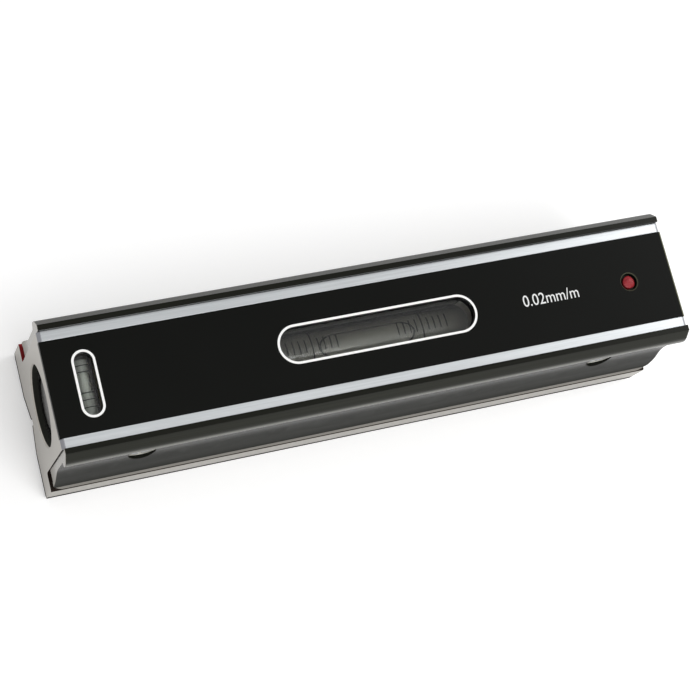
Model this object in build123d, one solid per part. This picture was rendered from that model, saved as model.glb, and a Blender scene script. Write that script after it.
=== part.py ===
from build123d import *
from math import radians, sqrt, tan
import os

# Bar level for machine setting: a cast-iron bar with a flat and vee base, a main vial in a
# tilting carrier inside a long bore, and a small cross vial at the left end.
# Millimetres. X runs along the bar, Y to its back, Z up from the base.

# General fits
FIT = 0.05                  # radial or side clearance of pieces that fit in one another
SEAT_GAP = 0.3              # play left where a moving piece meets its stop

# Main vial and its bubble
VIAL_DIAMETER = 16.0
VIAL_WALL = 1.3
VIAL_END_BEVEL = 2.0
VIAL_HELD = 12.0            # length of the vial past each end of the tube's slot
BUBBLE_LENGTH = 31.4
BUBBLE_WIDTH = 7.0
BUBBLE_EDGE = 0.35

# Carrier tube with its end blocks
CEMENT_THICKNESS = 1.6
CEMENT_LENGTH = 7.0
CEMENT_FROM_END = 3.0
TUBE_WALL = 1.6
TUBE_ROOM = 1.0             # play between tube and bore, in which the carrier tilts
TUBE_SLOT_OVER = 2.0        # slot past each end of the window
TUBE_SLOT_BESIDE = 1.3      # slot past each side of the window
BLOCK_CLEAR = 4.0           # free length between vial and pivot block
PIVOT_BLOCK_LENGTH = 16.0
ADJUSTER_BLOCK_LENGTH = 12.0
PIVOT_PIN_DIAMETER = 4.0
PIVOT_PIN_SUNK = 0.5        # pin ends below the block's sides

# Cast-iron bar
LENGTH = 200.0
SIDE_WALL = 4.95            # iron beside the bore
FOOT_OVERHANG = 5.85        # foot past each side of the block
FOOT_HEIGHT = 12.5
FLOOR_THICKNESS = 15.8      # iron between base and bore
ROOF_THICKNESS = 7.6        # iron between bore and ground stripes
FOOT_TOP_BEVEL = 0.5        # on the long upper edges of the foot
FOOT_LOW_BEVEL = 1.0        # on its long lower edges
ROOT_RADIUS = 1.0           # fillet between foot and block
TOP_END_BEVEL = 0.8         # bevel where the ground stripes meet the ends
VEE_ANGLE = 120.0
VEE_DEPTH = 5.2
VEE_RELIEF_WIDTH = 2.0
VEE_RELIEF_DEPTH = 1.5
BORE_MOUTH_BEVEL = 0.4

# Black top plate between two ground stripes
STRIPE_WIDTH = 3.05
PLATE_THICKNESS = 1.8
PLATE_DROP = 0.1            # plate face below the stripes

# Cross vial and its holder
CROSS_FROM_END = 11.3
CROSS_VIAL_DIAMETER = 6.0
CROSS_VIAL_WALL = 0.6
CROSS_VIAL_END_BEVEL = 0.8
CROSS_VIAL_BELOW_PANE = 0.6
CROSS_BUBBLE_LENGTH = 6.0
CROSS_BUBBLE_WIDTH = 3.4
CROSS_BUBBLE_EDGE = 0.2
CROSS_BUBBLE_OFFSET = 1.4   # bubble centre towards the back, as it stands
HOLDER_FROM_EDGE = 1.1      # holder ends inside the plate's sides
HOLDER_END = 3.25           # metal past each end of the vial
HOLDER_WALL = 1.55
HOLDER_FLOOR = 0.8
HOLDER_HEADROOM = 1.45      # room above the holder for its screw heads
HOLDER_SCREW_DIAMETER = 2.0
HOLDER_SCREW_HEAD = 2.8
HOLDER_SCREW_HEAD_HEIGHT = 1.1
HOLDER_SCREW_REACH = 3.0

# Windows, sized over their white bezels
BEZEL_RIM = 0.7
PANE_THICKNESS = 2.0
MAIN_WINDOW_LENGTH = 64.0
MAIN_WINDOW_WIDTH = 12.0
MAIN_PANE_MARGIN = 1.2      # how far the pane reaches under the plate
CROSS_WINDOW_OVER = 0.25    # window past each end of the cross vial
CROSS_WINDOW_WIDTH = 6.9
CROSS_PANE_MARGIN = 2.4

# Adjuster at the right end
ADJUSTER_FROM_END = 15.3
ADJUSTER_DIAMETER = 4.0
ADJUSTER_RECESS = 0.7       # screw head below the plate face
ADJUSTER_SLOT_WIDTH = 0.7
ADJUSTER_SLOT_DEPTH = 0.9
ADJUSTER_TIP_BEVEL = 0.8
BUSH_WALL = 1.6
PLATE_HOLE_ROOM = 0.75      # ring of the bush that shows round the screw
PLATE_HOLE_BEVEL = 0.3
PAD_DEPTH = 0.4             # flats milled on the tube for screw and spring
SPRING_DIAMETER = 6.4
SPRING_WIRE = 0.8
SPRING_PITCH = 2.0
SPRING_POCKET_DEPTH = 5.3
SET_SCREW_DIAMETER = 4.0
SET_SCREW_SUNK = 0.7
SET_SCREW_SLOT_WIDTH = 0.7
SET_SCREW_SLOT_DEPTH = 1.0

# End plugs
PLUG_RECESS = 2.0
PLUG_THICKNESS = 4.0
PLUG_RIM = 2.0
PLUG_GROOVE_WIDTH = 2.3
PLUG_GROOVE_DEPTH = 1.2

# Side grips, measured outwards from the side of the block
GRIP_RISE = 1.2             # above the ground stripes
GRIP_END_INSET = 0.35       # grip ends inside the bar's ends
GRIP_FOOT_GAP = 1.0         # open line above the foot
GRIP_TOP_FLAT = 1.65
GRIP_BEVEL_REACH = 3.5
GRIP_BEVEL_DROP = 3.0
GRIP_LIP_REACH = 4.15
GRIP_LIP_DROP = 5.5
GRIP_LIP_UNDER = 7.0
GRIP_WAIST_REACH = 2.5
GRIP_WAIST_DROP = 9.6
GRIP_WAIST_LOW = 17.0       # lower end of the waist above the grip's edge
GRIP_FLARE_REACH = 4.1
GRIP_FLARE_HEIGHT = 9.0
GRIP_BAND_HEIGHT = 1.2      # bare band along the lower edge
GRIP_BAND_STEP = 0.55
GRIP_EDGE_INSET = 0.15      # lower edge inside the foot's side
GRIP_SOLID_LOW = 4.0        # underside of the solid part above the lower edge
GRIP_SKIRT_WALL = 1.3
GRIP_TOE_RADIUS = 3.5

# Grip screws, two on each side
GRIP_SCREW_FROM_PIVOT = 16.5
GRIP_SCREW_FROM_ADJUSTER = 8.7
GRIP_SCREW_RISE = 1.9       # above the bore's axis
GRIP_SCREW_DIAMETER = 4.0
GRIP_SCREW_HEAD = 7.2
GRIP_SCREW_HEAD_HEIGHT = 0.9
GRIP_SCREW_HEAD_BEVEL = 0.2
GRIP_COUNTERBORE = 8.4
GRIP_COUNTERBORE_FLOOR = 1.0
GRIP_SCREW_TO_BORE = 0.55   # iron left between screw tip and bore
GRIP_SCREW_SLOT = 1.0
GRIP_SCREW_SLOT_DEPTH = 0.5

# Sizes and places worked out from those above
TUBE_INSIDE = VIAL_DIAMETER / 2 + CEMENT_THICKNESS
TUBE_RADIUS = TUBE_INSIDE + TUBE_WALL
BORE_RADIUS = TUBE_RADIUS + TUBE_ROOM
HALF = LENGTH / 2
SIDE = BORE_RADIUS + SIDE_WALL
BLOCK_WIDTH = 2 * SIDE
BASE_WIDTH = BLOCK_WIDTH + 2 * FOOT_OVERHANG
BORE_HEIGHT = FLOOR_THICKNESS + BORE_RADIUS
METAL_TOP = BORE_HEIGHT + BORE_RADIUS + ROOF_THICKNESS
PLATE_WIDTH = BLOCK_WIDTH - 2 * STRIPE_WIDTH
PLATE_TOP = METAL_TOP - PLATE_DROP
PLATE_FLOOR = PLATE_TOP - PLATE_THICKNESS
PANE_BOTTOM = PLATE_FLOOR - PANE_THICKNESS
TUBE_SLOT_LENGTH = MAIN_WINDOW_LENGTH + 2 * TUBE_SLOT_OVER
TUBE_SLOT_WIDTH = MAIN_WINDOW_WIDTH + 2 * TUBE_SLOT_BESIDE
VIAL_LENGTH = TUBE_SLOT_LENGTH + 2 * VIAL_HELD
PIVOT_X = -(VIAL_LENGTH / 2 + BLOCK_CLEAR + PIVOT_BLOCK_LENGTH / 2)
ADJUSTER_X = HALF - ADJUSTER_FROM_END
TUBE_LEFT = PIVOT_X - PIVOT_BLOCK_LENGTH / 2
TUBE_RIGHT = ADJUSTER_X + ADJUSTER_BLOCK_LENGTH / 2
PAD_TOP = BORE_HEIGHT + TUBE_RADIUS - PAD_DEPTH
PAD_BOTTOM = BORE_HEIGHT - TUBE_RADIUS + PAD_DEPTH
SPRING_POCKET_FLOOR = FLOOR_THICKNESS - SPRING_POCKET_DEPTH
BUSH_RADIUS = ADJUSTER_DIAMETER / 2 + BUSH_WALL
CROSS_X = CROSS_FROM_END - HALF
CROSS_VIAL_Z = PANE_BOTTOM - CROSS_VIAL_BELOW_PANE - CROSS_VIAL_DIAMETER / 2
HOLDER_WIDTH = CROSS_VIAL_DIAMETER + 2 * HOLDER_WALL
HOLDER_LENGTH = PLATE_WIDTH - 2 * HOLDER_FROM_EDGE
HOLDER_BOTTOM = CROSS_VIAL_Z - CROSS_VIAL_DIAMETER / 2 - FIT - HOLDER_FLOOR
HOLDER_TOP = PANE_BOTTOM - HOLDER_HEADROOM
HOLDER_SCREW_Y = (HOLDER_LENGTH - HOLDER_END) / 2
CROSS_VIAL_LENGTH = HOLDER_LENGTH - 2 * HOLDER_END - 2 * FIT
MAIN_WINDOW = (MAIN_WINDOW_LENGTH, MAIN_WINDOW_WIDTH)
CROSS_WINDOW = (CROSS_VIAL_LENGTH + 2 * CROSS_WINDOW_OVER, CROSS_WINDOW_WIDTH)
GRIP_TOP = METAL_TOP + GRIP_RISE
GRIP_BOTTOM = FOOT_HEIGHT + GRIP_FOOT_GAP
GRIP_REACH = FOOT_OVERHANG - GRIP_EDGE_INSET
GRIP_SCREW_Z = BORE_HEIGHT + GRIP_SCREW_RISE
GRIP_SCREW_XS = (PIVOT_X - GRIP_SCREW_FROM_PIVOT, ADJUSTER_X - GRIP_SCREW_FROM_ADJUSTER)


def rod(radius, start, end):
    """A round bar from one point to another."""
    line = Vector(*end) - Vector(*start)
    plane = Plane(origin=start, z_dir=line)
    return extrude(plane * Circle(radius), line.length)


def slot(size, low, high, across=False):
    """An upright prism with round ends, its long side along X or across the bar."""
    outline = SlotOverall(size[0], size[1], rotation=90 if across else 0)
    return extrude(Pos(0, 0, low) * outline, high - low)


def grown(size, margin):
    return (size[0] + 2 * margin, size[1] + 2 * margin)


def foot_and_block():
    """Cross-section of the bar: a foot, a block on it, and the vee under both."""
    foot = Rectangle(BASE_WIDTH, FOOT_HEIGHT, align=(Align.CENTER, Align.MIN))
    foot = chamfer(foot.vertices().group_by(Axis.Y)[-1], FOOT_TOP_BEVEL)
    foot = chamfer(foot.vertices().group_by(Axis.Y)[0], FOOT_LOW_BEVEL)
    block = Rectangle(BLOCK_WIDTH, METAL_TOP, align=(Align.CENTER, Align.MIN))
    section = foot + block
    roots = section.vertices().filter_by(
        lambda v: abs(abs(v.X) - SIDE) < FIT and abs(v.Y - FOOT_HEIGHT) < FIT
    )
    section = fillet(roots, ROOT_RADIUS)
    half_vee = VEE_DEPTH * tan(radians(VEE_ANGLE / 2))
    vee = Polygon((-half_vee, 0), (half_vee, 0), (0, VEE_DEPTH), align=None)
    relief = Rectangle(
        VEE_RELIEF_WIDTH, VEE_DEPTH + VEE_RELIEF_DEPTH, align=(Align.CENTER, Align.MIN)
    )
    channel = Pos(0, PLATE_FLOOR) * Rectangle(
        PLATE_WIDTH + 2 * FIT, METAL_TOP, align=(Align.CENTER, Align.MIN)
    )
    return section - vee - relief - channel


def window_pockets():
    """Openings from the plate's seat down to the bore, with a ledge for each pane."""
    main_pane = grown(MAIN_WINDOW, MAIN_PANE_MARGIN + FIT)
    cross_pane = grown(CROSS_WINDOW, CROSS_PANE_MARGIN + FIT)
    main = slot(main_pane, PANE_BOTTOM, METAL_TOP) + slot(
        grown(MAIN_WINDOW, -BEZEL_RIM), BORE_HEIGHT, METAL_TOP
    )
    trough = Pos(0, 0, HOLDER_BOTTOM) * Box(
        HOLDER_WIDTH + 2 * FIT,
        HOLDER_LENGTH + 2 * FIT,
        METAL_TOP - HOLDER_BOTTOM,
        align=(Align.CENTER, Align.CENTER, Align.MIN),
    )
    cross = slot(cross_pane, PANE_BOTTOM, METAL_TOP, across=True) + trough
    return main + Pos(CROSS_X, 0, 0) * cross


def screw_and_pin_holes():
    """Holes for the grip screws, side set screws, pivot pin, bush and spring."""
    holes = []
    for x in GRIP_SCREW_XS:
        holes.append(
            rod(
                GRIP_SCREW_DIAMETER / 2 + FIT,
                (x, -SIDE, GRIP_SCREW_Z),
                (x, SIDE, GRIP_SCREW_Z),
            )
        )
    holes.append(
        rod(
            SET_SCREW_DIAMETER / 2 + FIT,
            (ADJUSTER_X, -SIDE, BORE_HEIGHT),
            (ADJUSTER_X, SIDE, BORE_HEIGHT),
        )
    )
    holes.append(
        rod(
            PIVOT_PIN_DIAMETER / 2 + FIT,
            (PIVOT_X, -SIDE, BORE_HEIGHT),
            (PIVOT_X, SIDE, BORE_HEIGHT),
        )
    )
    holes.append(
        rod(
            BUSH_RADIUS + FIT,
            (ADJUSTER_X, 0, BORE_HEIGHT),
            (ADJUSTER_X, 0, METAL_TOP),
        )
    )
    holes.append(
        rod(
            SPRING_DIAMETER / 2 + SEAT_GAP,
            (ADJUSTER_X, 0, SPRING_POCKET_FLOOR),
            (ADJUSTER_X, 0, BORE_HEIGHT),
        )
    )
    for y in (-HOLDER_SCREW_Y, HOLDER_SCREW_Y):
        holes.append(
            rod(
                HOLDER_SCREW_DIAMETER / 2 + FIT,
                (CROSS_X, y, HOLDER_BOTTOM - HOLDER_SCREW_REACH - SEAT_GAP),
                (CROSS_X, y, HOLDER_BOTTOM),
            )
        )
    return holes


def bore_with_mouths():
    bore = rod(BORE_RADIUS, (-HALF, 0, BORE_HEIGHT), (HALF, 0, BORE_HEIGHT))
    for end in (-HALF, HALF):
        inward = BORE_MOUTH_BEVEL if end < 0 else -BORE_MOUTH_BEVEL
        mouth = loft(
            [
                Plane(origin=(end, 0, BORE_HEIGHT), z_dir=(1, 0, 0))
                * Circle(BORE_RADIUS + BORE_MOUTH_BEVEL),
                Plane(origin=(end + inward, 0, BORE_HEIGHT), z_dir=(1, 0, 0))
                * Circle(BORE_RADIUS),
            ]
        )
        bore += mouth
    return bore


def end_bevels():
    """Wedges that bevel the ends of the two ground stripes."""
    wedge = Plane.XZ * Polygon(
        (HALF - TOP_END_BEVEL, METAL_TOP),
        (HALF, METAL_TOP - TOP_END_BEVEL),
        (HALF, METAL_TOP),
        align=None,
    )
    right = extrude(wedge, SIDE, both=True)
    return right + mirror(right, about=Plane.YZ)


def make_level_body():
    bar = extrude(Plane.YZ.offset(-HALF) * foot_and_block(), LENGTH)
    bar -= bore_with_mouths()
    bar -= window_pockets()
    for hole in screw_and_pin_holes():
        bar -= hole
    return bar - end_bevels()


def make_top_plate():
    plate = Pos(0, 0, PLATE_FLOOR) * Box(
        LENGTH, PLATE_WIDTH, PLATE_THICKNESS, align=(Align.CENTER, Align.CENTER, Align.MIN)
    )
    plate -= slot(grown(MAIN_WINDOW, FIT), PLATE_FLOOR, PLATE_TOP)
    plate -= Pos(CROSS_X, 0, 0) * slot(
        grown(CROSS_WINDOW, FIT), PLATE_FLOOR, PLATE_TOP, across=True
    )
    hole = ADJUSTER_DIAMETER / 2 + PLATE_HOLE_ROOM
    plate -= rod(hole, (ADJUSTER_X, 0, PLATE_FLOOR), (ADJUSTER_X, 0, PLATE_TOP))
    plate -= Pos(ADJUSTER_X, 0, PLATE_TOP - PLATE_HOLE_BEVEL) * Cone(
        hole, hole + PLATE_HOLE_BEVEL, PLATE_HOLE_BEVEL, align=(Align.CENTER, Align.CENTER, Align.MIN)
    )
    return plate


def bezel(size, across):
    ring = slot(size, PLATE_FLOOR, PLATE_TOP, across)
    return ring - slot(grown(size, -BEZEL_RIM), PLATE_FLOOR, PLATE_TOP, across)


def make_main_window_bezel():
    return bezel(MAIN_WINDOW, across=False)


def make_cross_window_bezel():
    return Pos(CROSS_X, 0, 0) * bezel(CROSS_WINDOW, across=True)


def make_main_window_pane():
    return slot(grown(MAIN_WINDOW, MAIN_PANE_MARGIN), PANE_BOTTOM, PLATE_FLOOR)


def make_cross_window_pane():
    pane = slot(grown(CROSS_WINDOW, CROSS_PANE_MARGIN), PANE_BOTTOM, PLATE_FLOOR, across=True)
    return Pos(CROSS_X, 0, 0) * pane


def grip_section():
    """Half section of a grip: a lipped top, a waist, and a thin skirt that flares to the foot."""
    lip_under = (GRIP_LIP_REACH - 0.1, GRIP_TOP - GRIP_LIP_UNDER)
    waist_top = (GRIP_WAIST_REACH, GRIP_TOP - GRIP_WAIST_DROP)
    waist_low = (GRIP_WAIST_REACH, GRIP_BOTTOM + GRIP_WAIST_LOW)
    flare = (GRIP_FLARE_REACH, GRIP_BOTTOM + GRIP_FLARE_HEIGHT)
    band_top = (GRIP_REACH - GRIP_BAND_STEP, GRIP_BOTTOM + GRIP_BAND_HEIGHT)
    band_low = (GRIP_REACH, GRIP_BOTTOM)
    inner_low = (GRIP_REACH - GRIP_SKIRT_WALL, GRIP_BOTTOM)
    inner_top = (GRIP_FLARE_REACH - GRIP_SKIRT_WALL / 3, GRIP_BOTTOM + GRIP_SOLID_LOW)
    outer = [
        Line((0, GRIP_TOP), (GRIP_TOP_FLAT, GRIP_TOP)),
        Line((GRIP_TOP_FLAT, GRIP_TOP), (GRIP_BEVEL_REACH, GRIP_TOP - GRIP_BEVEL_DROP)),
        ThreePointArc(
            (GRIP_BEVEL_REACH, GRIP_TOP - GRIP_BEVEL_DROP),
            (GRIP_LIP_REACH, GRIP_TOP - GRIP_LIP_DROP),
            lip_under,
        ),
        TangentArc(lip_under, waist_top, tangent=(-1, -0.15)),
        Line(waist_top, waist_low),
        Spline(waist_low, flare, band_top, tangents=((0, -1), (0.1, -1))),
        Line(band_top, band_low),
    ]
    inner = [
        Line(band_low, inner_low),
        Line(inner_low, inner_top),
        Line(inner_top, (0, inner_top[1])),
        Line((0, inner_top[1]), (0, GRIP_TOP)),
    ]
    return make_face(outer + inner)


def toe_cut(half):
    """What is cut from the lower right corner of a grip to round its toe."""
    corner = Pos(half, GRIP_BOTTOM) * Rectangle(
        GRIP_TOE_RADIUS, GRIP_TOE_RADIUS, align=(Align.MAX, Align.MIN)
    )
    corner -= Pos(half - GRIP_TOE_RADIUS, GRIP_BOTTOM + GRIP_TOE_RADIUS) * Circle(
        GRIP_TOE_RADIUS
    )
    return extrude(Plane.XZ * corner, -(SIDE + FOOT_OVERHANG))


def grip_at_back():
    """One grip on the back side of the bar, with its two counterbored screw holes."""
    half = HALF - GRIP_END_INSET
    section = Plane.YZ.offset(-half) * Pos(SIDE + FIT, 0) * grip_section()
    grip = extrude(section, 2 * half)
    toe = toe_cut(half)
    grip -= toe
    grip -= mirror(toe, about=Plane.YZ)
    floor = SIDE + FIT + GRIP_COUNTERBORE_FLOOR
    outside = SIDE + GRIP_REACH
    for x in GRIP_SCREW_XS:
        grip -= rod(
            GRIP_COUNTERBORE / 2, (x, floor, GRIP_SCREW_Z), (x, outside, GRIP_SCREW_Z)
        )
        grip -= rod(
            GRIP_SCREW_DIAMETER / 2 + FIT, (x, SIDE, GRIP_SCREW_Z), (x, floor, GRIP_SCREW_Z)
        )
    return grip


def make_rear_grip():
    return grip_at_back()


def make_front_grip():
    return mirror(grip_at_back(), about=Plane.XZ)


def grip_screw(x):
    """Slotted pan-head screw that draws a grip to the block, on the back side."""
    seat = SIDE + FIT + GRIP_COUNTERBORE_FLOOR
    top = seat + GRIP_SCREW_HEAD_HEIGHT
    head = rod(GRIP_SCREW_HEAD / 2, (x, seat, GRIP_SCREW_Z), (x, top, GRIP_SCREW_Z))
    rim = head.edges().filter_by(GeomType.CIRCLE).sort_by(Axis.Y)[-1]
    head = chamfer(rim, GRIP_SCREW_HEAD_BEVEL)
    head -= Pos(x, top, GRIP_SCREW_Z) * Box(
        GRIP_SCREW_SLOT, 2 * GRIP_SCREW_SLOT_DEPTH, GRIP_SCREW_HEAD
    )
    tip = BORE_RADIUS + GRIP_SCREW_TO_BORE
    return head + rod(
        GRIP_SCREW_DIAMETER / 2, (x, tip, GRIP_SCREW_Z), (x, seat, GRIP_SCREW_Z)
    )


def make_rear_grip_screws():
    return [grip_screw(x) for x in GRIP_SCREW_XS]


def make_front_grip_screws():
    return [mirror(grip_screw(x), about=Plane.XZ) for x in GRIP_SCREW_XS]


def end_plug():
    """Turned plug, its grooved face towards +X and its back on the YZ plane."""
    radius = BORE_RADIUS - FIT
    groove_outside = radius - PLUG_RIM
    groove_inside = groove_outside - PLUG_GROOVE_WIDTH
    plug = rod(radius, (0, 0, 0), (PLUG_THICKNESS, 0, 0))
    groove_floor = PLUG_THICKNESS - PLUG_GROOVE_DEPTH
    groove = rod(groove_outside, (groove_floor, 0, 0), (PLUG_THICKNESS, 0, 0))
    groove -= rod(groove_inside, (groove_floor, 0, 0), (PLUG_THICKNESS, 0, 0))
    return plug - groove


def make_right_end_plug():
    return Pos(HALF - PLUG_RECESS - PLUG_THICKNESS, 0, BORE_HEIGHT) * end_plug()


def make_left_end_plug():
    return mirror(make_right_end_plug(), about=Plane.YZ)


def make_carrier_tube():
    """Slotted tube that holds the main vial, with flats for the adjuster and its spring."""
    axis = BORE_HEIGHT
    tube = rod(TUBE_RADIUS, (TUBE_LEFT, 0, axis), (TUBE_RIGHT, 0, axis))
    tube -= rod(TUBE_INSIDE, (TUBE_LEFT, 0, axis), (TUBE_RIGHT, 0, axis))
    tube -= slot((TUBE_SLOT_LENGTH, TUBE_SLOT_WIDTH), axis, axis + 2 * TUBE_RADIUS)
    tube -= rod(
        PIVOT_PIN_DIAMETER / 2 + FIT, (PIVOT_X, -TUBE_RADIUS, axis), (PIVOT_X, TUBE_RADIUS, axis)
    )
    pad = SPRING_DIAMETER / 2 + SEAT_GAP
    tube -= rod(pad, (ADJUSTER_X, 0, PAD_TOP), (ADJUSTER_X, 0, PAD_TOP + TUBE_WALL))
    tube -= rod(pad, (ADJUSTER_X, 0, PAD_BOTTOM - TUBE_WALL), (ADJUSTER_X, 0, PAD_BOTTOM))
    return tube


def make_pivot_block():
    block = rod(
        TUBE_INSIDE - FIT,
        (TUBE_LEFT, 0, BORE_HEIGHT),
        (TUBE_LEFT + PIVOT_BLOCK_LENGTH, 0, BORE_HEIGHT),
    )
    return block - rod(
        PIVOT_PIN_DIAMETER / 2 + FIT,
        (PIVOT_X, -TUBE_RADIUS, BORE_HEIGHT),
        (PIVOT_X, TUBE_RADIUS, BORE_HEIGHT),
    )


def make_adjuster_block():
    return rod(
        TUBE_INSIDE - FIT,
        (TUBE_RIGHT - ADJUSTER_BLOCK_LENGTH, 0, BORE_HEIGHT),
        (TUBE_RIGHT, 0, BORE_HEIGHT),
    )


def make_pivot_pin():
    reach = SIDE - PIVOT_PIN_SUNK
    return rod(
        PIVOT_PIN_DIAMETER / 2, (PIVOT_X, -reach, BORE_HEIGHT), (PIVOT_X, reach, BORE_HEIGHT)
    )


def sealed_tube(length, diameter, wall, end_bevel):
    """Glass vial along X with bevelled, closed ends and a hollow inside."""
    outside = rod(diameter / 2, (-length / 2, 0, 0), (length / 2, 0, 0))
    outside = chamfer(outside.edges().filter_by(GeomType.CIRCLE), end_bevel)
    inner_length = length - 2 * end_bevel
    hollow = rod(diameter / 2 - wall, (-inner_length / 2, 0, 0), (inner_length / 2, 0, 0))
    return outside - hollow


def bubble(length, width, edge, inside_radius):
    """Bubble along X that lies against the top of a round hollow centred on the X axis."""
    radius = inside_radius - FIT
    underside = sqrt(radius**2 - (width / 2) ** 2)
    shape = slot((length, width), underside - edge, radius)
    lower = shape.edges().group_by(Axis.Z)[0]
    shape = chamfer(lower, edge)
    return shape & rod(radius, (-length, 0, 0), (length, 0, 0))


def make_main_vial():
    vial = sealed_tube(VIAL_LENGTH, VIAL_DIAMETER, VIAL_WALL, VIAL_END_BEVEL)
    return Pos(0, 0, BORE_HEIGHT) * vial


def make_main_bubble():
    inside = VIAL_DIAMETER / 2 - VIAL_WALL
    return Pos(0, 0, BORE_HEIGHT) * bubble(BUBBLE_LENGTH, BUBBLE_WIDTH, BUBBLE_EDGE, inside)


def make_main_vial_cement():
    """Two plaster rings that fix the vial in its tube, clear of the window slot."""
    start = VIAL_LENGTH / 2 - CEMENT_FROM_END - CEMENT_LENGTH
    ring = rod(TUBE_INSIDE - FIT, (start, 0, 0), (start + CEMENT_LENGTH, 0, 0))
    ring -= rod(VIAL_DIAMETER / 2 + FIT, (start, 0, 0), (start + CEMENT_LENGTH, 0, 0))
    right = Pos(0, 0, BORE_HEIGHT) * ring
    return [right, mirror(right, about=Plane.YZ)]


def across_bar(shape):
    """Turns a piece made along X to lie across the bar at the cross window."""
    return Pos(CROSS_X, 0, CROSS_VIAL_Z) * Rot(0, 0, 90) * shape


def make_cross_vial():
    return across_bar(
        sealed_tube(
            CROSS_VIAL_LENGTH, CROSS_VIAL_DIAMETER, CROSS_VIAL_WALL, CROSS_VIAL_END_BEVEL
        )
    )


def make_cross_bubble():
    inside = CROSS_VIAL_DIAMETER / 2 - CROSS_VIAL_WALL
    shape = bubble(CROSS_BUBBLE_LENGTH, CROSS_BUBBLE_WIDTH, CROSS_BUBBLE_EDGE, inside)
    return across_bar(Pos(CROSS_BUBBLE_OFFSET, 0, 0) * shape)


def make_cross_vial_holder():
    """Milled cradle with a trough for the cross vial and a screw through each end."""
    holder = Pos(CROSS_X, 0, HOLDER_BOTTOM) * Box(
        HOLDER_WIDTH,
        HOLDER_LENGTH,
        HOLDER_TOP - HOLDER_BOTTOM,
        align=(Align.CENTER, Align.CENTER, Align.MIN),
    )
    trough_radius = CROSS_VIAL_DIAMETER / 2 + FIT
    reach = CROSS_VIAL_LENGTH / 2 + FIT
    holder -= rod(
        trough_radius, (CROSS_X, -reach, CROSS_VIAL_Z), (CROSS_X, reach, CROSS_VIAL_Z)
    )
    holder -= Pos(CROSS_X, 0, CROSS_VIAL_Z) * Box(
        2 * trough_radius,
        2 * reach,
        CROSS_VIAL_DIAMETER,
        align=(Align.CENTER, Align.CENTER, Align.MIN),
    )
    for y in (-HOLDER_SCREW_Y, HOLDER_SCREW_Y):
        holder -= rod(
            HOLDER_SCREW_DIAMETER / 2 + FIT, (CROSS_X, y, HOLDER_BOTTOM), (CROSS_X, y, HOLDER_TOP)
        )
    return holder


def holder_screw(y):
    head_top = HOLDER_TOP + HOLDER_SCREW_HEAD_HEIGHT
    tip = HOLDER_BOTTOM - HOLDER_SCREW_REACH
    head = rod(HOLDER_SCREW_HEAD / 2, (CROSS_X, y, HOLDER_TOP), (CROSS_X, y, head_top))
    return head + rod(HOLDER_SCREW_DIAMETER / 2, (CROSS_X, y, tip), (CROSS_X, y, HOLDER_TOP))


def make_cross_holder_screws():
    return [holder_screw(y) for y in (-HOLDER_SCREW_Y, HOLDER_SCREW_Y)]


def make_adjuster_bush():
    low = BORE_HEIGHT + BORE_RADIUS
    bush = rod(BUSH_RADIUS, (ADJUSTER_X, 0, low), (ADJUSTER_X, 0, PLATE_FLOOR))
    return bush - rod(
        ADJUSTER_DIAMETER / 2 + FIT, (ADJUSTER_X, 0, low), (ADJUSTER_X, 0, PLATE_FLOOR)
    )


def make_adjusting_screw():
    """Slotted fine-thread screw that presses the carrier down against its spring."""
    tip = PAD_TOP + SEAT_GAP
    top = PLATE_TOP - ADJUSTER_RECESS
    screw = rod(ADJUSTER_DIAMETER / 2, (ADJUSTER_X, 0, tip), (ADJUSTER_X, 0, top))
    screw = chamfer(
        screw.edges().filter_by(GeomType.CIRCLE).sort_by(Axis.Z)[0], ADJUSTER_TIP_BEVEL
    )
    return screw - Pos(ADJUSTER_X, 0, top) * Box(
        ADJUSTER_SLOT_WIDTH, ADJUSTER_DIAMETER, 2 * ADJUSTER_SLOT_DEPTH
    )


def make_lift_spring():
    """Coil spring of square wire that stands in the pocket under the adjuster."""
    low = SPRING_POCKET_FLOOR + SPRING_WIRE / 2
    height = PAD_BOTTOM - SEAT_GAP - SPRING_WIRE / 2 - low
    coil_radius = (SPRING_DIAMETER - SPRING_WIRE) / 2
    path = Helix(SPRING_PITCH, height, coil_radius)
    wire = Plane(origin=path @ 0, x_dir=(0, 0, 1), z_dir=path % 0) * Rectangle(
        SPRING_WIRE, SPRING_WIRE
    )
    return Pos(ADJUSTER_X, 0, low) * sweep(wire, path=path, is_frenet=True)


def set_screw():
    """Slotted headless screw on the back side, its nose against the carrier tube."""
    nose = TUBE_RADIUS + FIT
    end = SIDE - SET_SCREW_SUNK
    screw = rod(
        SET_SCREW_DIAMETER / 2, (ADJUSTER_X, nose, BORE_HEIGHT), (ADJUSTER_X, end, BORE_HEIGHT)
    )
    return screw - Pos(ADJUSTER_X, end, BORE_HEIGHT) * Box(
        SET_SCREW_DIAMETER, 2 * SET_SCREW_SLOT_DEPTH, SET_SCREW_SLOT_WIDTH
    )


def make_side_set_screws():
    return [set_screw(), mirror(set_screw(), about=Plane.XZ)]


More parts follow.
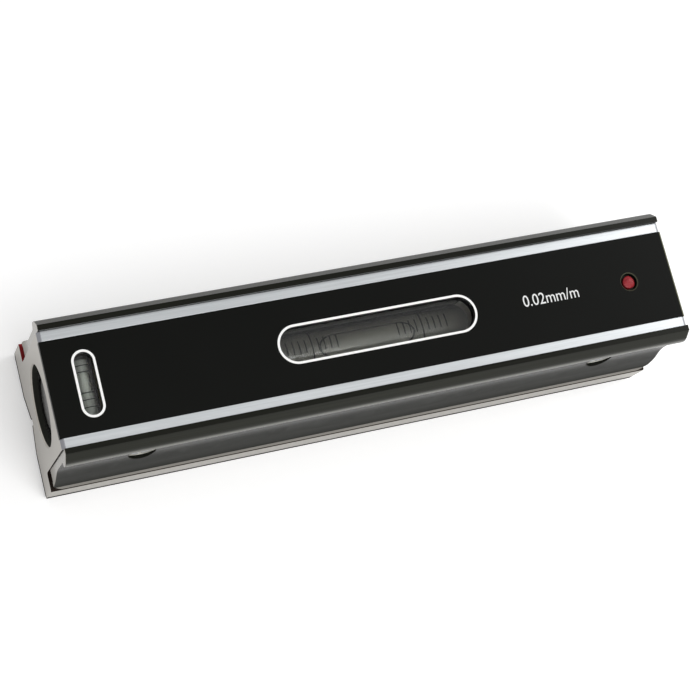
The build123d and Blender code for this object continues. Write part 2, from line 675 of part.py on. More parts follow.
PIECES = {
    "level_body": make_level_body,
    "top_plate": make_top_plate,
    "main_window_bezel": make_main_window_bezel,
    "main_window_pane": make_main_window_pane,
    "cross_window_bezel": make_cross_window_bezel,
    "cross_window_pane": make_cross_window_pane,
    "front_grip": make_front_grip,
    "rear_grip": make_rear_grip,
    "front_grip_screws": make_front_grip_screws,
    "rear_grip_screws": make_rear_grip_screws,
    "left_end_plug": make_left_end_plug,
    "right_end_plug": make_right_end_plug,
    "carrier_tube": make_carrier_tube,
    "pivot_block": make_pivot_block,
    "pivot_pin": make_pivot_pin,
    "adjuster_block": make_adjuster_block,
    "main_vial": make_main_vial,
    "main_vial_cement": make_main_vial_cement,
    "main_bubble": make_main_bubble,
    "cross_vial_holder": make_cross_vial_holder,
    "cross_holder_screws": make_cross_holder_screws,
    "cross_vial": make_cross_vial,
    "cross_bubble": make_cross_bubble,
    "adjuster_bush": make_adjuster_bush,
    "adjusting_screw": make_adjusting_screw,
    "lift_spring": make_lift_spring,
    "side_set_screws": make_side_set_screws,
}

os.makedirs("parts", exist_ok=True)
for name, make in PIECES.items():
    piece = make()
    if isinstance(piece, list):
        piece = Compound(children=piece)
    export_step(piece, f"parts/{name}.step")
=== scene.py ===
import bpy
from math import cos, pi, radians, sin, sqrt
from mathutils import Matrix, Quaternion, Vector


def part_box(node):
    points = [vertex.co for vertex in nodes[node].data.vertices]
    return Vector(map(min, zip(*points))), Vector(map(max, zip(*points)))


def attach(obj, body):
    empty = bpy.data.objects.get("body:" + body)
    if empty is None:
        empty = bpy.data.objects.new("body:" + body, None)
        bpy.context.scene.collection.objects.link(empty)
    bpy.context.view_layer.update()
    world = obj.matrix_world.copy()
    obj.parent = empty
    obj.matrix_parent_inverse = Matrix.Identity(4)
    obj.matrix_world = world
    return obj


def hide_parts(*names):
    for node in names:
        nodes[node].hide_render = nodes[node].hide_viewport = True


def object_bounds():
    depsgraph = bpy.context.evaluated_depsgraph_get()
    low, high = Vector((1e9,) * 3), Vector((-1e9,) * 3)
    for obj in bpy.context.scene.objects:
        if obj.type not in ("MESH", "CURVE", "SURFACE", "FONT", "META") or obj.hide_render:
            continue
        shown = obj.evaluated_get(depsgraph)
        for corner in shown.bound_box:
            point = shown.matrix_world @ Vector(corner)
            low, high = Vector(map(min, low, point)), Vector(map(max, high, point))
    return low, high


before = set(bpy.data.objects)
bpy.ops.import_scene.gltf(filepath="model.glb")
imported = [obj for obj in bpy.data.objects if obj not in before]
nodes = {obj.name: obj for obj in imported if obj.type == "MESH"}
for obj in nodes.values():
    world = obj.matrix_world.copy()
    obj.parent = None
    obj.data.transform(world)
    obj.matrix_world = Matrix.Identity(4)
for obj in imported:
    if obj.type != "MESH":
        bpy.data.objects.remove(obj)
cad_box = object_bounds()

# Level body: a bar of grey cast iron with a foot, a block on it and a long bore.
# The casting keeps red primer where the grips hide it. The base, foot sides, ends and the
# two top stripes are ground bright, and the inside is painted dark grey.
MM = 0.001


def linear(colour):
    """Linear RGBA of an sRGB hex colour."""
    levels = [int(colour[i : i + 2], 16) / 255 for i in (1, 3, 5)]
    return [v / 12.92 if v <= 0.04045 else ((v + 0.055) / 1.055) ** 2.4 for v in levels] + [1]


def add(tree, kind, setup, out=0):
    """Adds a node with its properties, socket values and links, and gives one of its outputs."""
    made = tree.nodes.new("ShaderNode" + kind)
    for name, value in setup.items():
        if isinstance(value, bpy.types.NodeSocket):
            tree.links.new(value, made.inputs[name])
        elif isinstance(name, str) and hasattr(made, name):
            setattr(made, name, value)
        else:
            made.inputs[name].default_value = value
    return made.outputs[out] if made.outputs else None


def new_material(name):
    """An empty node material and its tree."""
    made = bpy.data.materials.new(name)
    made.use_nodes = True
    made.node_tree.nodes.clear()
    return made, made.node_tree


def dress(name, material):
    """Gives a CAD node its material."""
    for slot in nodes[name].material_slots:
        slot.material = material


def over(tree, value, limit):
    """1 where the size of a value is over a limit, whatever its sign."""
    size = add(tree, "Math", {"operation": "ABSOLUTE", 0: value})
    return add(tree, "Math", {"operation": "GREATER_THAN", 0: size, 1: limit})


def streaks(tree, point, across, length, detail=3):
    """Ground or drawn lines along X: noise with a pitch across them and a length along them."""
    stretched = add(
        tree, "Mapping", {"Vector": point, "Scale": (1 / length, 1 / across, 1 / across)}
    )
    return add(tree, "TexNoise", {"Vector": stretched, "Scale": 1.0, "Detail": detail})


def cast_iron():
    """Grey cast iron, ground on its working faces, primed or painted elsewhere."""
    made, tree = new_material("ground_grey_cast_iron")
    point = add(tree, "TexCoord", {}, "Object")
    place = add(tree, "SeparateXYZ", {0: point}).node
    facing = add(tree, "SeparateXYZ", {0: add(tree, "TexCoord", {}, "Normal")}).node
    ends = over(tree, facing.outputs["X"], SQUARE_TO)
    stripes = over(tree, place.outputs["Z"], STRIPE_START)
    foot_sides = over(tree, place.outputs["Y"], FOOT_SIDE_START)
    base = add(tree, "Math", {"operation": "LESS_THAN", 0: facing.outputs["Z"], 1: LOOKS_DOWN})
    upper_faces = add(tree, "Math", {"operation": "MAXIMUM", 0: ends, 1: stripes})
    foot_faces = add(tree, "Math", {"operation": "MAXIMUM", 0: foot_sides, 1: base})
    bright = add(tree, "Math", {"operation": "MAXIMUM", 0: upper_faces, 1: foot_faces})
    outside = over(tree, place.outputs["Y"], BLOCK_SIDE)

    # Grinding lines are near 0.1 mm apart and are drawn at 0.35 mm so that they show.
    lines = streaks(tree, point, across=0.35 * MM, length=30 * MM)
    # The graphite flakes of grey iron show on the milled ends as a fine dark mottle.
    flakes = add(tree, "TexNoise", {"Vector": point, "Scale": 1 / (0.9 * MM), "Detail": 6})
    grain = add(tree, "MixRGB", {"Fac": ends, "Color1": lines, "Color2": flakes})
    ground = add(
        tree, "MixRGB", {"Fac": grain, "Color1": linear("#9FA2A4"), "Color2": linear("#B5B8BA")}
    )
    milled = add(
        tree, "MixRGB", {"Fac": grain, "Color1": linear("#938F88"), "Color2": linear("#ACA8A1")}
    )
    scraped = add(
        tree, "MixRGB", {"Fac": grain, "Color1": linear("#8B8780"), "Color2": linear("#A5A198")}
    )
    # The stripes are coloured darker over their last millimetre.
    darker_stripe_ends = over(tree, place.outputs["X"], DARKER_STRIPE_START)
    darker_stripe_ends = add(tree, "Math", {"operation": "MULTIPLY", 0: stripes, 1: darker_stripe_ends})
    ground = add(tree, "MixRGB", {"Fac": darker_stripe_ends, "Color1": ground, "Color2": linear("#85868A")})
    iron = add(tree, "MixRGB", {"Fac": foot_sides, "Color1": milled, "Color2": scraped})
    iron = add(tree, "MixRGB", {"Fac": stripes, "Color1": iron, "Color2": ground})
    # Painted shade: the iron is coloured near black in a low band along the edges of the base,
    # also along those of its vee.
    width = add(tree, "Math", {"operation": "ABSOLUTE", 0: place.outputs["Y"]})
    vee = add(
        tree, "Math", {"operation": "MULTIPLY_ADD", 0: width, 1: -VEE_SLOPE, 2: VEE_DEPTH}
    )
    vee = add(tree, "Math", {"operation": "MAXIMUM", 0: vee, 1: 0.0})
    rise = add(tree, "Math", {"operation": "SUBTRACT", 0: place.outputs["Z"], 1: vee})
    upper = add(
        tree, "MapRange", {"Value": foot_sides, "To Min": END_PAINTED_SHADE, "To Max": SIDE_PAINTED_SHADE}
    )
    lower = add(tree, "Math", {"operation": "SUBTRACT", 0: upper, 1: PAINTED_SHADE_FADE})
    unshaded = add(tree, "MapRange", {"Value": rise, "From Min": lower, "From Max": upper})
    unshaded = add(tree, "Math", {"operation": "MAXIMUM", 0: unshaded, 1: base})

    rough_cast = add(tree, "TexNoise", {"Vector": point, "Scale": 1 / (1.2 * MM), "Detail": 5})
    primer = add(
        tree,
        "MixRGB",
        {"Fac": rough_cast, "Color1": linear("#7A1B1E"), "Color2": linear("#A12A2E")},
    )
    # On the front side the primer is coloured near black, as painted shade in the gap under the
    # grip.
    front = add(tree, "Math", {"operation": "LESS_THAN", 0: place.outputs["Y"], 1: 0.0})
    front_painted_shade = add(
        tree,
        "MixRGB",
        {"Fac": rough_cast, "Color1": linear("#14120F"), "Color2": linear("#2A1D18")},
    )
    primer = add(tree, "MixRGB", {"Fac": front, "Color1": primer, "Color2": front_painted_shade})
    paint = add(tree, "MixRGB", {"Fac": outside, "Color1": linear("#343530"), "Color2": primer})
    colour = add(tree, "MixRGB", {"Fac": bright, "Color1": paint, "Color2": iron})
    # Painted shade: the base edges turn near black.
    colour = add(tree, "MixRGB", {"Fac": unshaded, "Color1": linear("#0E0D0B"), "Color2": colour})
    bright = add(tree, "Math", {"operation": "MULTIPLY", 0: bright, 1: unshaded})
    polish = add(tree, "MapRange", {"Value": grain, "To Min": 0.26, "To Max": 0.4})
    roughness = add(tree, "MapRange", {"Value": bright, "To Min": 0.8, "To Max": polish})
    gleam = add(tree, "MapRange", {"Value": unshaded, "To Min": 0.0, "To Max": 0.15})
    height = add(tree, "MixRGB", {"Fac": bright, "Color1": rough_cast, "Color2": grain})
    eased = add(tree, "Bevel", {"Radius": 0.25 * MM})
    surface = add(
        tree, "Bump", {"Height": height, "Strength": 0.35, "Distance": 0.03 * MM, "Normal": eased}
    )
    shader = add(
        tree,
        "BsdfPrincipled",
        {
            "Base Color": colour,
            "Metallic": bright,
            "Roughness": roughness,
            "Specular IOR Level": gleam,
            "Normal": surface,
        },
    )
    add(tree, "OutputMaterial", {"Surface": shader})
    return made


SQUARE_TO = 0.5
LOOKS_DOWN = -0.4
BODY_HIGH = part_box("level_body")[1]
STRIPE_START = BODY_HIGH.z - 1.0 * MM
DARKER_STRIPE_START = BODY_HIGH.x - 1.1 * MM
FOOT_SIDE_START = BODY_HIGH.y - 0.05 * MM
BLOCK_SIDE = 16.9 * MM
VEE_DEPTH = 5.2 * MM
VEE_SLOPE = 0.577
END_PAINTED_SHADE = 1.6 * MM
SIDE_PAINTED_SHADE = 3.4 * MM
PAINTED_SHADE_FADE = 0.5 * MM
dress("level_body", cast_iron())


# Vial carrier: a steel tube with a long slot, blackened, that holds the main vial in two
# rings of plaster. Its end blocks are turned from plated steel and pressed in.
def blackened_steel():
    """Steel with a black oxide finish: dark grey, with a soft shine."""
    made, tree = new_material("black_oxide_steel")
    point = add(tree, "TexCoord", {}, "Object")
    turning = add(tree, "TexNoise", {"Vector": point, "Scale": 1 / (0.5 * MM), "Detail": 4})
    colour = add(
        tree, "MixRGB", {"Fac": turning, "Color1": linear("#1E1E1C"), "Color2": linear("#2E2E2B")}
    )
    roughness = add(tree, "MapRange", {"Value": turning, "To Min": 0.4, "To Max": 0.55})
    surface = add(tree, "Bump", {"Height": turning, "Strength": 0.2, "Distance": 0.01 * MM})
    shader = add(
        tree,
        "BsdfPrincipled",
        {"Base Color": colour, "Metallic": 1.0, "Roughness": roughness, "Normal": surface},
    )
    add(tree, "OutputMaterial", {"Surface": shader})
    return made


def plated_steel(name, finest, coarsest):
    """Zinc-plated steel: light, slightly blue, with fine turning marks."""
    made, tree = new_material(name)
    point = add(tree, "TexCoord", {}, "Object")
    turning = add(tree, "TexNoise", {"Vector": point, "Scale": 1 / (0.3 * MM), "Detail": 5})
    colour = add(
        tree, "MixRGB", {"Fac": turning, "Color1": linear("#A9ACAE"), "Color2": linear("#CDD0D2")}
    )
    roughness = add(tree, "MapRange", {"Value": turning, "To Min": finest, "To Max": coarsest})
    surface = add(tree, "Bump", {"Height": turning, "Strength": 0.2, "Distance": 0.01 * MM})
    shader = add(
        tree,
        "BsdfPrincipled",
        {"Base Color": colour, "Metallic": 1.0, "Roughness": roughness, "Normal": surface},
    )
    add(tree, "OutputMaterial", {"Surface": shader})
    return made


def set_plaster():
    """Set gypsum plaster: matte, off-white, with small pores."""
    made, tree = new_material("set_gypsum_plaster")
    point = add(tree, "TexCoord", {}, "Object")
    pores = add(tree, "TexNoise", {"Vector": point, "Scale": 1 / (0.4 * MM), "Detail": 6})
    colour = add(
        tree, "MixRGB", {"Fac": pores, "Color1": linear("#CFCAC0"), "Color2": linear("#E6E2D8")}
    )
    surface = add(tree, "Bump", {"Height": pores, "Strength": 0.5, "Distance": 0.05 * MM})
    shader = add(
        tree, "BsdfPrincipled", {"Base Color": colour, "Roughness": 0.9, "Normal": surface}
    )
    add(tree, "OutputMaterial", {"Surface": shader})
    return made


black_steel = blackened_steel()
bright_steel = plated_steel("zinc_plated_steel", finest=0.24, coarsest=0.38)
dress("carrier_tube", black_steel)
for name in ("pivot_block", "adjuster_block", "pivot_pin"):
    dress(name, bright_steel)
dress("main_vial_cement", set_plaster())


# Main vial: a tube of clear borosilicate glass, drawn and ground, filled with spirit.
# Fired black lines mark it every 2 mm on both sides of two long lines.
def clear_glass(name, index, tint, roughness):
    """Clear glass or liquid. The faint cloud in its polish only breaks the reflections."""
    made, tree = new_material(name)
    point = add(tree, "TexCoord", {}, "Object")
    polish = add(tree, "TexNoise", {"Vector": point, "Scale": 1 / (3 * MM), "Detail": 2})
    gloss = add(
        tree, "MapRange", {"Value": polish, "To Min": roughness * 0.8, "To Max": roughness * 1.2}
    )
    shader = add(
        tree,
        "BsdfPrincipled",
        {
            "Base Color": linear(tint),
            "Roughness": gloss,
            "IOR": index,
            "Transmission Weight": 1.0,
        },
    )
    add(tree, "OutputMaterial", {"Surface": shader})
    return made


def mesh_piece(name, points, faces, material, body):
    """A smooth-shaded mesh that rides on a body."""
    mesh = bpy.data.meshes.new(name)
    mesh.from_pydata(points, [], faces)
    mesh.validate()
    mesh.polygons.foreach_set("use_smooth", [True] * len(mesh.polygons))
    mesh.materials.append(material)
    made = bpy.data.objects.new(name, mesh)
    bpy.context.scene.collection.objects.link(made)
    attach(made, body)
    return made


def along_bar(centre):
    """Places a point given along, across and above the middle of a vial that lies along X."""
    return lambda x, y, z: (centre.x + x, centre.y + y, centre.z + z)


def across_bar(centre):
    """The same for a vial that lies across the bar, its length along Y."""
    return lambda x, y, z: (centre.x - y, centre.y + x, centre.z + z)


def vial_marks(name, lines, radius, width, place, material, body):
    """Fired lines on a vial: arcs (position, back angle, front angle) just proud of the glass."""
    rise = 0.03 * MM
    steps = 16
    points, faces = [], []
    for x, back, front in lines:
        first = len(points)
        for step in range(steps + 1):
            angle = back + (front - back) * step / steps
            for side in (-width / 2, width / 2):
                for r in (radius, radius + rise):
                    points.append(place(x + side, r * sin(angle), r * cos(angle)))
        for step in range(steps):
            a = first + 4 * step
            faces += [
                (a + 1, a + 3, a + 7, a + 5),
                (a, a + 1, a + 5, a + 4),
                (a + 3, a + 2, a + 6, a + 7),
                (a + 2, a, a + 4, a + 6),
            ]
        last = first + 4 * steps
        faces += [(first, first + 2, first + 3, first + 1), (last, last + 1, last + 3, last + 2)]
    return mesh_piece(name, points, faces, material, body)


def fired_enamel():
    """Black enamel fired into engraved lines: matte, with slightly broken edges."""
    made, tree = new_material("fired_black_enamel")
    point = add(tree, "TexCoord", {}, "Object")
    specks = add(tree, "TexNoise", {"Vector": point, "Scale": 1 / (0.3 * MM), "Detail": 4})
    colour = add(
        tree, "MixRGB", {"Fac": specks, "Color1": linear("#050505"), "Color2": linear("#1A1A19")}
    )
    shader = add(
        tree,
        "BsdfPrincipled",
        {"Base Color": colour, "Roughness": 0.6, "Specular IOR Level": 0.2},
    )
    add(tree, "OutputMaterial", {"Surface": shader})
    return made


def tinted_spirit(name, tint, clearness):
    """Spirit as it shows over the dulled wall below it: part clear, part an even soft grey."""
    made, tree = new_material(name)
    point = add(tree, "TexCoord", {}, "Object")
    cloud = add(tree, "TexNoise", {"Vector": point, "Scale": 1 / (5 * MM), "Detail": 2})
    value = add(tree, "MapRange", {"Value": cloud, "To Min": 0.9, "To Max": 1.1})
    colour = add(tree, "HueSaturation", {"Color": linear(tint), "Value": value})
    shader = add(
        tree,
        "BsdfPrincipled",
        {"Base Color": colour, "Roughness": 0.12, "IOR": 1.33, "Transmission Weight": clearness},
    )
    add(tree, "OutputMaterial", {"Surface": shader})
    return made


def liquid_fill(name, vial, bore, margin, place, material, body):
    """The spirit in a vial: a round bar with domed ends, a little inside the glass."""
    gap = 0.2 * MM
    rings, around = 8, 64
    half = vial / 2 - margin
    turns = [radians(90) * ring / rings for ring in range(1, rings + 1)]
    stations = [(-half + margin * (1 - cos(turn)), (bore - gap) * sin(turn)) for turn in turns]
    stations += [(-x, radius) for x, radius in reversed(stations)]
    points, faces = [], []
    for x, radius in stations:
        for step in range(around):
            angle = 2 * pi * step / around
            points.append(place(x, radius * sin(angle), radius * cos(angle)))
    for a in range(0, len(points) - around, around):
        b = a + around
        for i in range(around):
            j = (i + 1) % around
            faces.append((a + i, a + j, b + j, b + i))
    faces.append(tuple(range(around))[::-1])
    faces.append(tuple(range(len(points) - around, len(points))))
    return mesh_piece(name, points, faces, material, body)


VIAL_LOW, VIAL_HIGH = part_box("main_vial")
VIAL_CENTRE = (VIAL_LOW + VIAL_HIGH) / 2
VIAL_RADIUS = (VIAL_HIGH.z - VIAL_LOW.z) / 2
VIAL_WALL = 1.3 * MM
VIAL_MARGIN = 2.2 * MM
MARK_PITCH = 2 * MM
LONG_MARK = 18 * MM
MARK_WIDTH = 0.4 * MM
TICKS_OUTSIDE = 4
TICKS_INSIDE = 4
LONG_ANGLES = (radians(46), radians(-34))
TICK_ANGLES = (radians(24), radians(-6))
vial_glass = clear_glass("ground_borosilicate_glass", index=1.3, tint="#F8F8F6", roughness=0.15)
spirit = tinted_spirit("level_spirit", tint="#8A877E", clearness=0.2)
black_enamel = fired_enamel()
dress("main_vial", vial_glass)
main_place = along_bar(VIAL_CENTRE)
lines = []
for end in (-1, 1):
    lines.append((end * LONG_MARK, *LONG_ANGLES))
    for step in range(1, TICKS_OUTSIDE + 1):
        lines.append((end * (LONG_MARK + step * MARK_PITCH), *TICK_ANGLES))
    for step in range(1, TICKS_INSIDE + 1):
        lines.append((end * (LONG_MARK - step * MARK_PITCH), *TICK_ANGLES))
vial_marks(
    "main_vial_marks", lines, VIAL_RADIUS, MARK_WIDTH, main_place, black_enamel, "vial_carrier"
)
liquid_fill(
    "main_vial_spirit",
    VIAL_HIGH.x - VIAL_LOW.x,
    VIAL_RADIUS - VIAL_WALL,
    VIAL_MARGIN,
    main_place,
    spirit,
    "vial_carrier",
)


# Main bubble: vapour over the spirit. Its roof lies on the ground glass and its edge turns
# down in a round meniscus, which shows as a dark outline.
def meniscus(name, darkest, palest):
    """The steep edge of a bubble, which bends the light away and shows dark."""
    made, tree = new_material(name)
    point = add(tree, "TexCoord", {}, "Object")
    depth = add(tree, "TexNoise", {"Vector": point, "Scale": 1 / (2 * MM), "Detail": 1})
    colour = add(
        tree, "MixRGB", {"Fac": depth, "Color1": linear(darkest), "Color2": linear(palest)}
    )
    shader = add(
        tree,
        "BsdfPrincipled",
        {"Base Color": colour, "Roughness": 0.2, "Specular IOR Level": 0.1},
    )
    add(tree, "OutputMaterial", {"Surface": shader})
    return made


def bubble_piece(
    name, length, width, *, stretch, roof, drop, edge, place, materials, body, dark_front
):
    """A bubble under a round roof: rings from its outline in to its middle, above and below.

    Its ends are half ellipses, as long as half its width times stretch. Its edge turns down by
    drop, and the outer rings of its ends, or also of its front, are dark.
    """
    around, rings, dark_rings = 48, 10, 6
    innermost = 0.98
    dark_share = (0.12, 0.88)
    radius = width / 2
    reach = length / 2 - stretch * radius
    rim = sqrt(roof**2 - radius**2)
    insets = [edge * (1 - cos(radians(90) * i / rings)) for i in range(rings + 1)]
    insets.append(radius * innermost)

    def outline(inset):
        for i in range(2 * around):
            end = 1 if i < around else -1
            angle = pi * ((i % around) / (around - 1) - 0.5)
            yield (
                end * (reach + stretch * (radius - inset) * cos(angle)),
                end * (radius - inset) * sin(angle),
            )

    points, faces = [], []
    for inset in insets:
        depth = drop * sqrt(1 - (1 - min(inset / edge, 1)) ** 2)
        points += [place(x, y, rim - depth) for x, y in outline(inset)]
    for inset in insets[1:]:
        points += [place(x, y, sqrt(roof**2 - y**2)) for x, y in outline(inset)]
    count = 2 * around
    lower = list(range(len(insets)))
    upper = [0] + list(range(len(insets), 2 * len(insets) - 1))
    for rows, turned in ((lower, False), (upper, True)):
        for a, b in zip(rows, rows[1:]):
            for i in range(count):
                j = (i + 1) % count
                face = (a * count + i, b * count + i, b * count + j, a * count + j)
                faces.append(face[::-1] if turned else face)
        middle = tuple(rows[-1] * count + i for i in range(count))
        faces.append(middle[::-1] if not turned else middle)
    made = mesh_piece(name, points, faces, materials[0], body)
    made.data.materials.append(materials[1])
    roof_start = (rings + 1) * count + 1
    for face in made.data.polygons:
        row = face.index if face.index < rings * count else face.index - roof_start
        at_edge = 0 <= row < dark_rings * count
        column = row % count
        at_end = dark_share[0] < (column % around) / around < dark_share[1]
        if at_edge and (at_end or (dark_front and column == count - 1)):
            face.material_index = 1
    return made


vapour = clear_glass("spirit_vapour", index=0.76, tint="#FFFFFF", roughness=0.0)
BUBBLE_LOW, BUBBLE_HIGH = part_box("main_bubble")
main_bubble = bubble_piece(
    "main_bubble_vapour",
    BUBBLE_HIGH.x - BUBBLE_LOW.x,
    BUBBLE_HIGH.y - BUBBLE_LOW.y,
    stretch=1.5,
    roof=BUBBLE_HIGH.z - VIAL_CENTRE.z,
    drop=0.35 * MM,
    edge=1.0 * MM,
    place=along_bar(Vector(((BUBBLE_LOW.x + BUBBLE_HIGH.x) / 2, 0, VIAL_CENTRE.z))),
    materials=(vapour, meniscus("bubble_meniscus", "#10110F", "#20221F")),
    body="main_bubble_float",
    dark_front=True,
)
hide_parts("main_bubble")


# Cross vial: a small glass vial across the bar in a milled brass cradle that two screws
# hold down in its pocket. Five black lines show where its bubble should stand.
def milled_brass():
    """Brass, milled and slightly dulled: yellow-brown with fine cutter marks."""
    made, tree = new_material("milled_brass")
    point = add(tree, "TexCoord", {}, "Object")
    cutter = add(tree, "TexNoise", {"Vector": point, "Scale": 1 / (0.4 * MM), "Detail": 4})
    colour = add(
        tree, "MixRGB", {"Fac": cutter, "Color1": linear("#6B6350"), "Color2": linear("#8C8468")}
    )
    roughness = add(tree, "MapRange", {"Value": cutter, "To Min": 0.35, "To Max": 0.5})
    surface = add(tree, "Bump", {"Height": cutter, "Strength": 0.25, "Distance": 0.01 * MM})
    shader = add(
        tree,
        "BsdfPrincipled",
        {"Base Color": colour, "Metallic": 1.0, "Roughness": roughness, "Normal": surface},
    )
    add(tree, "OutputMaterial", {"Surface": shader})
    return made


CROSS_LOW, CROSS_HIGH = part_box("cross_vial")
CROSS_CENTRE = (CROSS_LOW + CROSS_HIGH) / 2
CROSS_RADIUS = (CROSS_HIGH.z - CROSS_LOW.z) / 2
CROSS_WALL = 0.6 * MM
CROSS_MARGIN = 1.0 * MM
CROSS_MARK_WIDTH = 0.25 * MM
CROSS_MARKS = (6.3 * MM, 4.4 * MM, -1.8 * MM, -3.8 * MM, -6.0 * MM)
CROSS_ANGLES = (radians(60), radians(-60))
dress("cross_vial_holder", milled_brass())
dress("cross_holder_screws", bright_steel)
dress("cross_vial", vial_glass)
cross_place = across_bar(CROSS_CENTRE)
vial_marks(
    "cross_vial_marks",
    [(y, *CROSS_ANGLES) for y in CROSS_MARKS],
    CROSS_RADIUS,
    CROSS_MARK_WIDTH,
    cross_place,
    black_enamel,
    "level",
)
# The spirit in the cross vial is coloured lighter than the same spirit in the main vial, as
# painted light.
liquid_fill(
    "cross_vial_spirit",
    CROSS_HIGH.y - CROSS_LOW.y,
    CROSS_RADIUS - CROSS_WALL,
    CROSS_MARGIN,
    cross_place,
    tinted_spirit("spirit_painted_lighter", tint="#BFC4BC", clearness=0.2),
    "level",
)
SMALL_LOW, SMALL_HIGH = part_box("cross_bubble")
cross_bubble = bubble_piece(
    "cross_bubble_vapour",
    SMALL_HIGH.y - SMALL_LOW.y,
    SMALL_HIGH.x - SMALL_LOW.x,
    stretch=0.5,
    roof=SMALL_HIGH.z - CROSS_CENTRE.z,
    drop=0.2 * MM,
    edge=0.5 * MM,
    place=across_bar(Vector((CROSS_CENTRE.x, (SMALL_LOW.y + SMALL_HIGH.y) / 2, CROSS_CENTRE.z))),
    materials=(vapour, meniscus("pale_bubble_meniscus", "#5A5D58", "#6C6F6A")),
    body="cross_bubble_float",
    dark_front=False,
)
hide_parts("cross_bubble")


# Window panes and bezels: flat panes cut from clear acrylic sheet lie in ledges of the
# iron, and white acrylic rims, cut to the same outline, are bonded on them.
def clear_acrylic():
    """Cast acrylic sheet: clear, with a polish that shows faint waves."""
    made, tree = new_material("clear_acrylic_sheet")
    point = add(tree, "TexCoord", {}, "Object")
    waves = add(tree, "TexNoise", {"Vector": point, "Scale": 1 / (12 * MM), "Detail": 1})
    surface = add(tree, "Bump", {"Height": waves, "Strength": 0.01, "Distance": 0.01 * MM})
    shader = add(
        tree,
        "BsdfPrincipled",
        {
            "Base Color": linear("#FAFCFB"),
            "Roughness": 0.02,
            "IOR": 1.3,
            "Transmission Weight": 1.0,
            "Normal": surface,
        },
    )
    add(tree, "OutputMaterial", {"Surface": shader})
    return made


def white_acrylic():
    """White acrylic: bright, with a soft shine and a hint of sawn texture."""
    made, tree = new_material("white_acrylic")
    point = add(tree, "TexCoord", {}, "Object")
    cut = add(tree, "TexNoise", {"Vector": point, "Scale": 1 / (0.6 * MM), "Detail": 3})
    white = add(
        tree, "MixRGB", {"Fac": cut, "Color1": linear("#F1F1EF"), "Color2": linear("#FCFCFA")}
    )
    # The sawn edge is coloured black as painted shade, so that only the face shows white.
    facing = add(tree, "SeparateXYZ", {0: add(tree, "TexCoord", {}, "Normal")}).node
    face = over(tree, facing.outputs["Z"], SQUARE_TO)
    colour = add(tree, "MixRGB", {"Fac": face, "Color1": linear("#0C0C0C"), "Color2": white})
    shader = add(tree, "BsdfPrincipled", {"Base Color": colour, "Roughness": 0.4})
    add(tree, "OutputMaterial", {"Surface": shader})
    return made


pane_material = clear_acrylic()
rim_material = white_acrylic()
for window in ("main_window", "cross_window"):
    dress(window + "_pane", pane_material)
    dress(window + "_bezel", rim_material)


# Top plate: a strip of aluminium, enamelled satin black, set between the ground stripes.
# The level's sensitivity is screen-printed on it in plain white figures.
def black_stoved_enamel():
    """Stoved black enamel: deep, satin, with a faint orange peel."""
    made, tree = new_material("stoved_black_enamel")
    point = add(tree, "TexCoord", {}, "Object")
    peel = add(tree, "TexNoise", {"Vector": point, "Scale": 1 / (0.8 * MM), "Detail": 3})
    cloud = add(tree, "TexNoise", {"Vector": point, "Scale": 1 / (30 * MM), "Detail": 2})
    enamel = add(
        tree, "MixRGB", {"Fac": cloud, "Color1": linear("#060705"), "Color2": linear("#0B0C0A")}
    )
    # The bevels are coloured grey as painted highlight, and the enamel stops short of the sheared
    # right edge.
    along = add(tree, "SeparateXYZ", {0: point}).node.outputs["X"]
    edge = add(tree, "Math", {"operation": "GREATER_THAN", 0: along, 1: ENAMEL_END})
    up = add(tree, "SeparateXYZ", {0: add(tree, "TexCoord", {}, "Normal")}).node.outputs["Z"]
    bevel_highlight = add(tree, "Math", {"operation": "COMPARE", 0: up, 1: BEVEL_TILT, 2: BEVEL_SPAN})
    colour = add(tree, "MixRGB", {"Fac": bevel_highlight, "Color1": enamel, "Color2": linear("#494A3D")})
    colour = add(tree, "MixRGB", {"Fac": edge, "Color1": colour, "Color2": linear("#6E6F5B")})
    surface = add(tree, "Bump", {"Height": peel, "Strength": 0.15, "Distance": 0.01 * MM})
    shader = add(
        tree,
        "BsdfPrincipled",
        {
            "Base Color": colour,
            "Roughness": 0.38,
            "Specular IOR Level": 0.06,
            "Normal": surface,
        },
    )
    add(tree, "OutputMaterial", {"Surface": shader})
    return made


def printing_ink():
    """White screen-printing ink: matte and slightly uneven in cover."""
    made, tree = new_material("white_screen_ink")
    point = add(tree, "TexCoord", {}, "Object")
    cover = add(tree, "TexNoise", {"Vector": point, "Scale": 1 / (0.4 * MM), "Detail": 3})
    colour = add(
        tree, "MixRGB", {"Fac": cover, "Color1": linear("#DADBDA"), "Color2": linear("#EDEEED")}
    )
    shader = add(tree, "BsdfPrincipled", {"Base Color": colour, "Roughness": 0.6})
    add(tree, "OutputMaterial", {"Surface": shader})
    return made


PLATE_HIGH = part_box("top_plate")[1]
ENAMEL_END = PLATE_HIGH.x - 0.35 * MM
BEVEL_TILT = 0.7
BEVEL_SPAN = 0.2
SENSITIVITY = "0.02mm/m"
MARKING_LEFT = 47.5 * MM
MARKING_LENGTH = 19 * MM
MARKING_HEIGHT = 5.2 * MM
MARKING_BASE = -1.8 * MM
INK_THICKNESS = 0.01 * MM
dress("top_plate", black_stoved_enamel())
words = bpy.data.curves.new("sensitivity_marking", "FONT")
words.body = SENSITIVITY
words.size = MARKING_HEIGHT
words.extrude = INK_THICKNESS
words.resolution_u = 4
words.materials.append(printing_ink())
marking = bpy.data.objects.new("sensitivity_marking", words)
bpy.context.scene.collection.objects.link(marking)
bpy.context.view_layer.update()
marking.scale.x = MARKING_LENGTH / marking.dimensions.x
marking.location = (MARKING_LEFT, MARKING_BASE, PLATE_HIGH.z + words.extrude)
bpy.context.view_layer.update()
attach(marking, "level")


